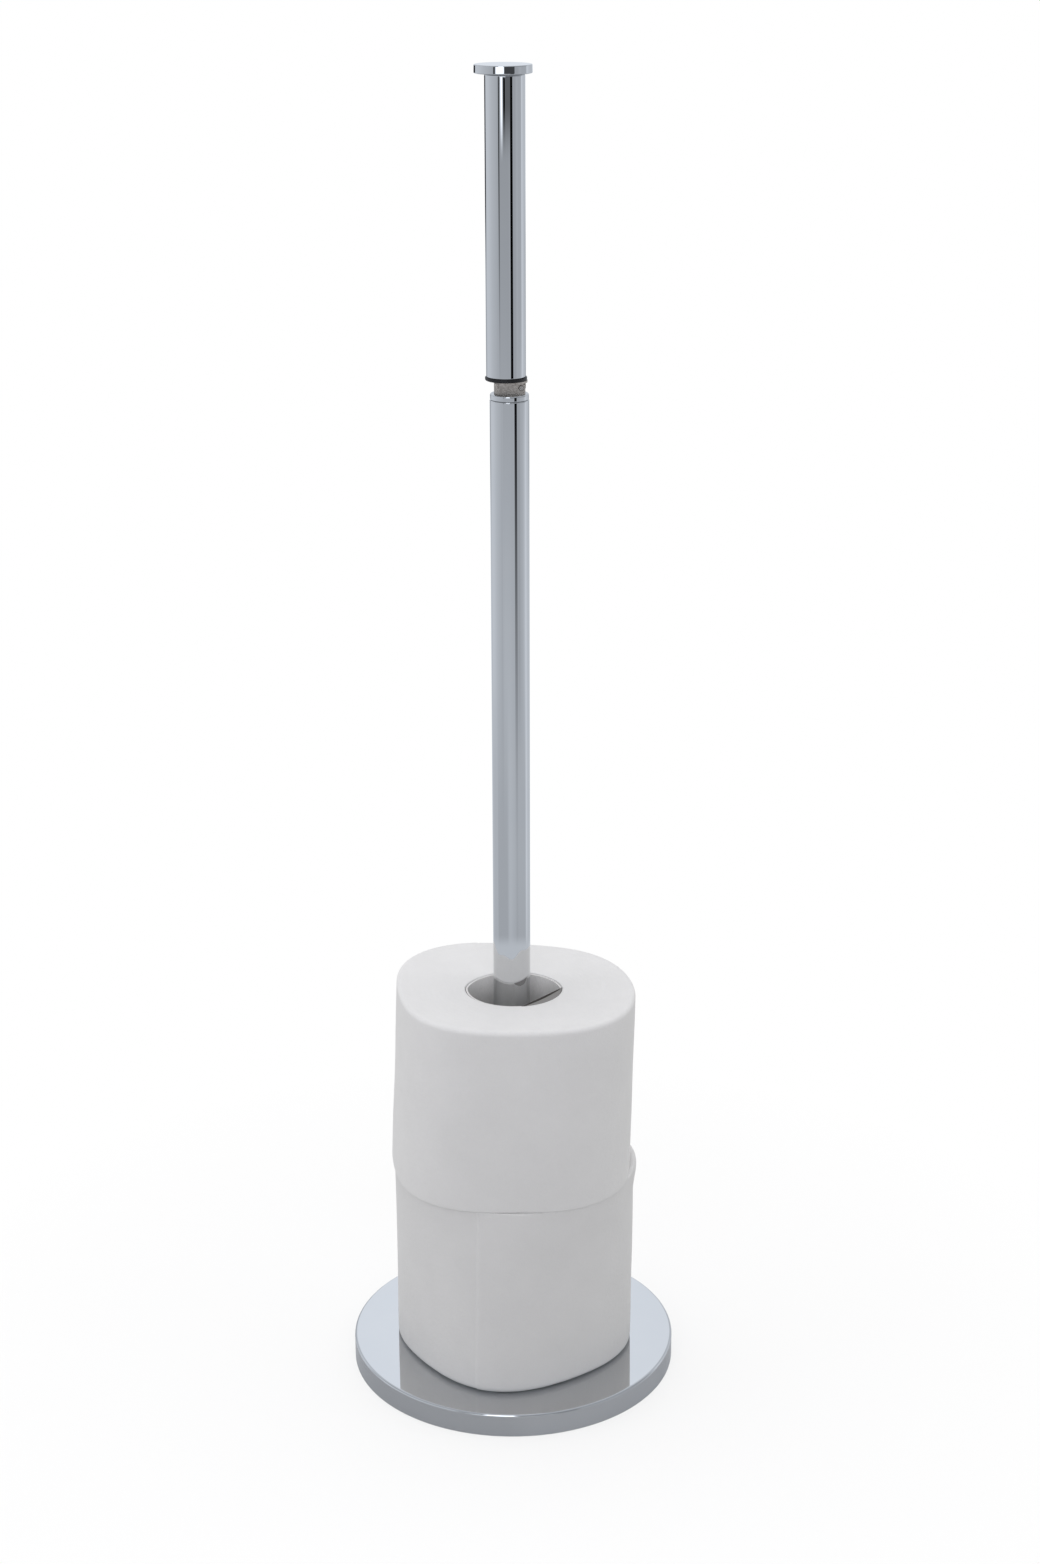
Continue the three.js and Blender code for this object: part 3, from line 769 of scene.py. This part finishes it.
# Cards in the room, each in front of those before it: the tone, the left and right edge, how
# soft these are, and the two heights between which the card comes in. It goes on from there,
# upwards or, where the first height is the higher one, downwards, as far as the two heights
# between which it goes out again, where these are given.
CARDS = (
    # The lower end of the post's visible part, from its left edge to its right side.
    (0.7, (-135, -100), 10, (-16, -20)),
    (0.61, (-85, -25), 14, (-16, -21.5)),
    (0.66, (44, 95), 8, (-16, -20)),
    # The right side of the arm and of the upper post.
    (0.6, (78, 100), 6, (-12.5, -9)),
    # The floor in front, as the base's rim shows it.
    (0.385, ALL_ROUND, 1, (-20.8, -31)),
    (0.43, (15, 120), 20, (-20.8, -31)),
    # The front of the tubes, and the dark line down their right side.
    (0.51, (-36, 20), 12, (-20, -5)),
    (0.0, (29, 43), 1.2, (-21.5, -10.5)),
    # Marks near the arm's upper end.
    (0.0, (-37, -33), 2, (-11, -5.5)),
    (0.0, (-8.5, 1.5), 2, (-6.0, -4.7)),
    (0.18, (4, 28), 3, (-6.0, -4.7)),
    (1.9, (-23.5, -14.5), 2, (-6.0, -4.7)),
    # The dark front of the room, above the horizon.
    (0.17, (-105, 105), 10, (1, 4)),
    # The cap's side, with its light.
    (0.08, (5, 45), 2, (-3.9, -3.3)),
    (1.9, (-28, 3), 1.5, (-3.9, -3.3), (3, 5)),
    # Higher up in front: the wall, the light that makes the highlights, and the wall over it.
    (0.46, (-105, 105), 10, (8, 14)),
    (3.2, (-19, 0), 2, (10, 14), (42, 47)),
    (0.62, (-105, 105), 10, (42, 48), (74, 78)),
    # A window on the left.
    (1.0, (-100, -40), 10, (1, 4), (14, 20)),
    # The lower backdrop, and the middle of it, which the cap's top shows.
    (0.75, (-180, -135), 10, (-3, 0), (12, 18)),
    (0.75, (135, 180), 10, (-3, 0), (12, 18)),
    (0.86, (-180, -172), 3, (2, 3), (6, 7)),
    (0.86, (172, 180), 3, (2, 3), (6, 7)),
    # Thin dark outlines along the tubes.
    (0.45, (-166, -146), 3, (1, -2), (-12, -14)),
    (0.5, (146, 166), 3, (-6, -8), (-12, -14)),
    (0.0, (-166, -142), 3, (1, -2), (-6.5, -8.5)),
    # A pale line at the foot of the post's visible part.
    (0.79, ALL_ROUND, 1, (-22.65, -22.95), (-26, -29)),
    # Straight above.
    (1.15, ALL_ROUND, 1, (78, 82)),
)
ROOM_TINT = (0.942, 0.996, 1.077)
# The world's plain light, apart from the reflections, and the y of the directions where the
# front's light ends and the back's begins.
AMBIENT_FRONT = 0.325
AMBIENT_BACK = 0.88
AMBIENT_CHANGE = (-0.5, 0.3)


def make_world():
    world = bpy.data.worlds.new("studio")
    world.use_nodes = True
    bpy.context.scene.world = world
    tree = world.node_tree
    tree.nodes.clear()

    def add(kind, inputs=None, **settings):
        return add_node(tree, kind, inputs, **settings)

    def calc(operation, *values):
        return add("ShaderNodeMath", dict(enumerate(values)), operation=operation).outputs["Value"]

    def vector_calc(operation, *values):
        inputs = dict(enumerate(values))
        return add("ShaderNodeVectorMath", inputs, operation=operation).outputs["Vector"]

    def remap(value, start, stop, interpolation="LINEAR"):
        """0 at start, 1 at stop and level beyond them."""
        inputs = {"Value": value, "From Min": start, "From Max": stop}
        return add("ShaderNodeMapRange", inputs, interpolation_type=interpolation).outputs["Result"]

    def mixed(factor, first, second):
        node = add("ShaderNodeMix", data_type="FLOAT")
        for socket, value in zip((node.inputs[0], node.inputs[2], node.inputs[3]), (factor, first, second)):
            if isinstance(value, bpy.types.NodeSocket):
                tree.links.new(value, socket)
            else:
                socket.default_value = value
        return node.outputs[0]

    ray = add("ShaderNodeTexCoord").outputs["Generated"]
    parts = add("ShaderNodeSeparateXYZ", {"Vector": ray}).outputs
    direction = calc("ARCTAN2", parts["X"], calc("MULTIPLY", parts["Y"], -1.0))
    height = calc("ARCSINE", parts["Z"])
    round_share = remap(direction, -math.pi, math.pi)

    def around(stops):
        """A tone by direction, from (degrees, tone) pairs."""
        node = add("ShaderNodeValToRGB", {"Fac": round_share})
        elements = node.color_ramp.elements
        for i, (degrees, tone) in enumerate(stops):
            position = (degrees + 180) / 360
            element = elements[i] if i < 2 else elements.new(position)
            element.position = position
            element.color = (tone, tone, tone, 1)
        return node.outputs["Color"]

    def height_mask(start, stop):
        return remap(height, math.radians(start), math.radians(stop), "SMOOTHSTEP")

    def side_mask(left, right, soft):
        stops = ((left - soft, 0), (left, 1), (right, 1), (right + soft, 0))
        return around([(degrees, tone) for degrees, tone in stops if abs(degrees) <= 180])

    room = around(ROOM_TONES)
    for tone, sides, soft, comes_in, *goes_out in CARDS:
        mask = height_mask(*comes_in)
        for start, stop in goes_out:
            mask = calc("MULTIPLY", mask, height_mask(stop, start))
        if sides != ALL_ROUND:
            mask = calc("MULTIPLY", mask, side_mask(*sides, soft))
        room = mixed(mask, room, tone)

    # Reflections see the room, other light is plain, and the camera's background is white.
    rays = add("ShaderNodeLightPath").outputs
    ambient = mixed(remap(parts["Y"], *AMBIENT_CHANGE), AMBIENT_FRONT, AMBIENT_BACK)
    tone = mixed(rays["Is Glossy Ray"], ambient, room)
    tone = mixed(calc("MAXIMUM", rays["Is Camera Ray"], rays["Is Transmission Ray"]), tone, 1.0)
    extra_tint = [channel - 1 for channel in ROOM_TINT]
    tint = vector_calc("MULTIPLY_ADD", rays["Is Glossy Ray"], extra_tint, (1, 1, 1))
    light = add("ShaderNodeBackground", {"Color": vector_calc("MULTIPLY", tone, tint), "Strength": 1.0})
    add("ShaderNodeOutputWorld", {"Surface": light.outputs["Background"]})


FLOOR_RADIUS = 0.34
FLOOR_COLUMNS = 96
FLOOR_TONE = 0.95
FLOOR_OPAQUE = 0.24      # how much of the floor shows beside the base; at its edge none does


def make_floor():
    mesh = bmesh.new()
    bmesh.ops.create_circle(mesh, cap_ends=True, segments=FLOOR_COLUMNS, radius=FLOOR_RADIUS)
    data = bpy.data.meshes.new("floor")
    mesh.to_mesh(data)
    mesh.free()
    floor = new_object("floor", data)
    colour = (FLOOR_TONE, FLOOR_TONE, FLOOR_TONE, 1)
    shader = Shader("pale_floor", Roughness=0.9, Specular_IOR_Level=0, Base_Color=colour)
    distance = shader.add("ShaderNodeVectorMath", {0: shader.place()}, operation="LENGTH")
    fade = shader.remap(distance.outputs["Value"], 1 - FLOOR_OPAQUE, 1, BASE_RADIUS, FLOOR_RADIUS)
    clear = shader.add("ShaderNodeBsdfTransparent").outputs["BSDF"]
    mix_inputs = {0: fade, 1: shader.principled.outputs["BSDF"], 2: clear}
    mix = shader.add("ShaderNodeMixShader", mix_inputs).outputs["Shader"]
    shader.tree.links.new(mix, shader.tree.nodes["Material Output"].inputs["Surface"])
    data.materials.append(shader.material)


# Lamps: name, place, side length and power. No surface reflects them.
LAMPS = (
    ("overhead", (-0.154, 0.385, 2.2), 1.54, 9.4),
    ("near_front", (-0.05, -0.55, 0.36), 0.35, 0.9),
    ("left", (-1.6, -0.3, 1.0), 0.9, 3.4),
    ("right", (1.5, -0.4, 0.8), 0.9, 1.7),
)
LAMP_COLOUR = (0.985, 0.98, 1.03)
LAMP_AIM = Vector((0, 0, 0.25))


def make_lamps():
    for name, place, size, power in LAMPS:
        data = bpy.data.lights.new(name, "AREA")
        data.shape = "SQUARE"
        data.size = size
        data.energy = power
        data.color = LAMP_COLOUR
        lamp = new_object(name, data)
        lamp.location = place
        lamp.visible_glossy = False
        lamp.rotation_euler = (LAMP_AIM - Vector(place)).to_track_quat("-Z", "Y").to_euler()


make_camera()
make_world()
make_floor()
make_lamps()
base_cover()
tube("post_tube_polished", "post_tube", "stand", 0.0, TUBE_EDGE)
tube("arm_tube_polished", "arm_tube", "arm", ARM_X, MOUTH_EDGE)
collar()
arm_disc()
cap()
small_pieces()
for which_roll in ROLLS:
    roll_paper(which_roll)
for which_roll in ROLLS:
    roll_core(which_roll)

scene = bpy.context.scene
scene.view_settings.view_transform = "Standard"
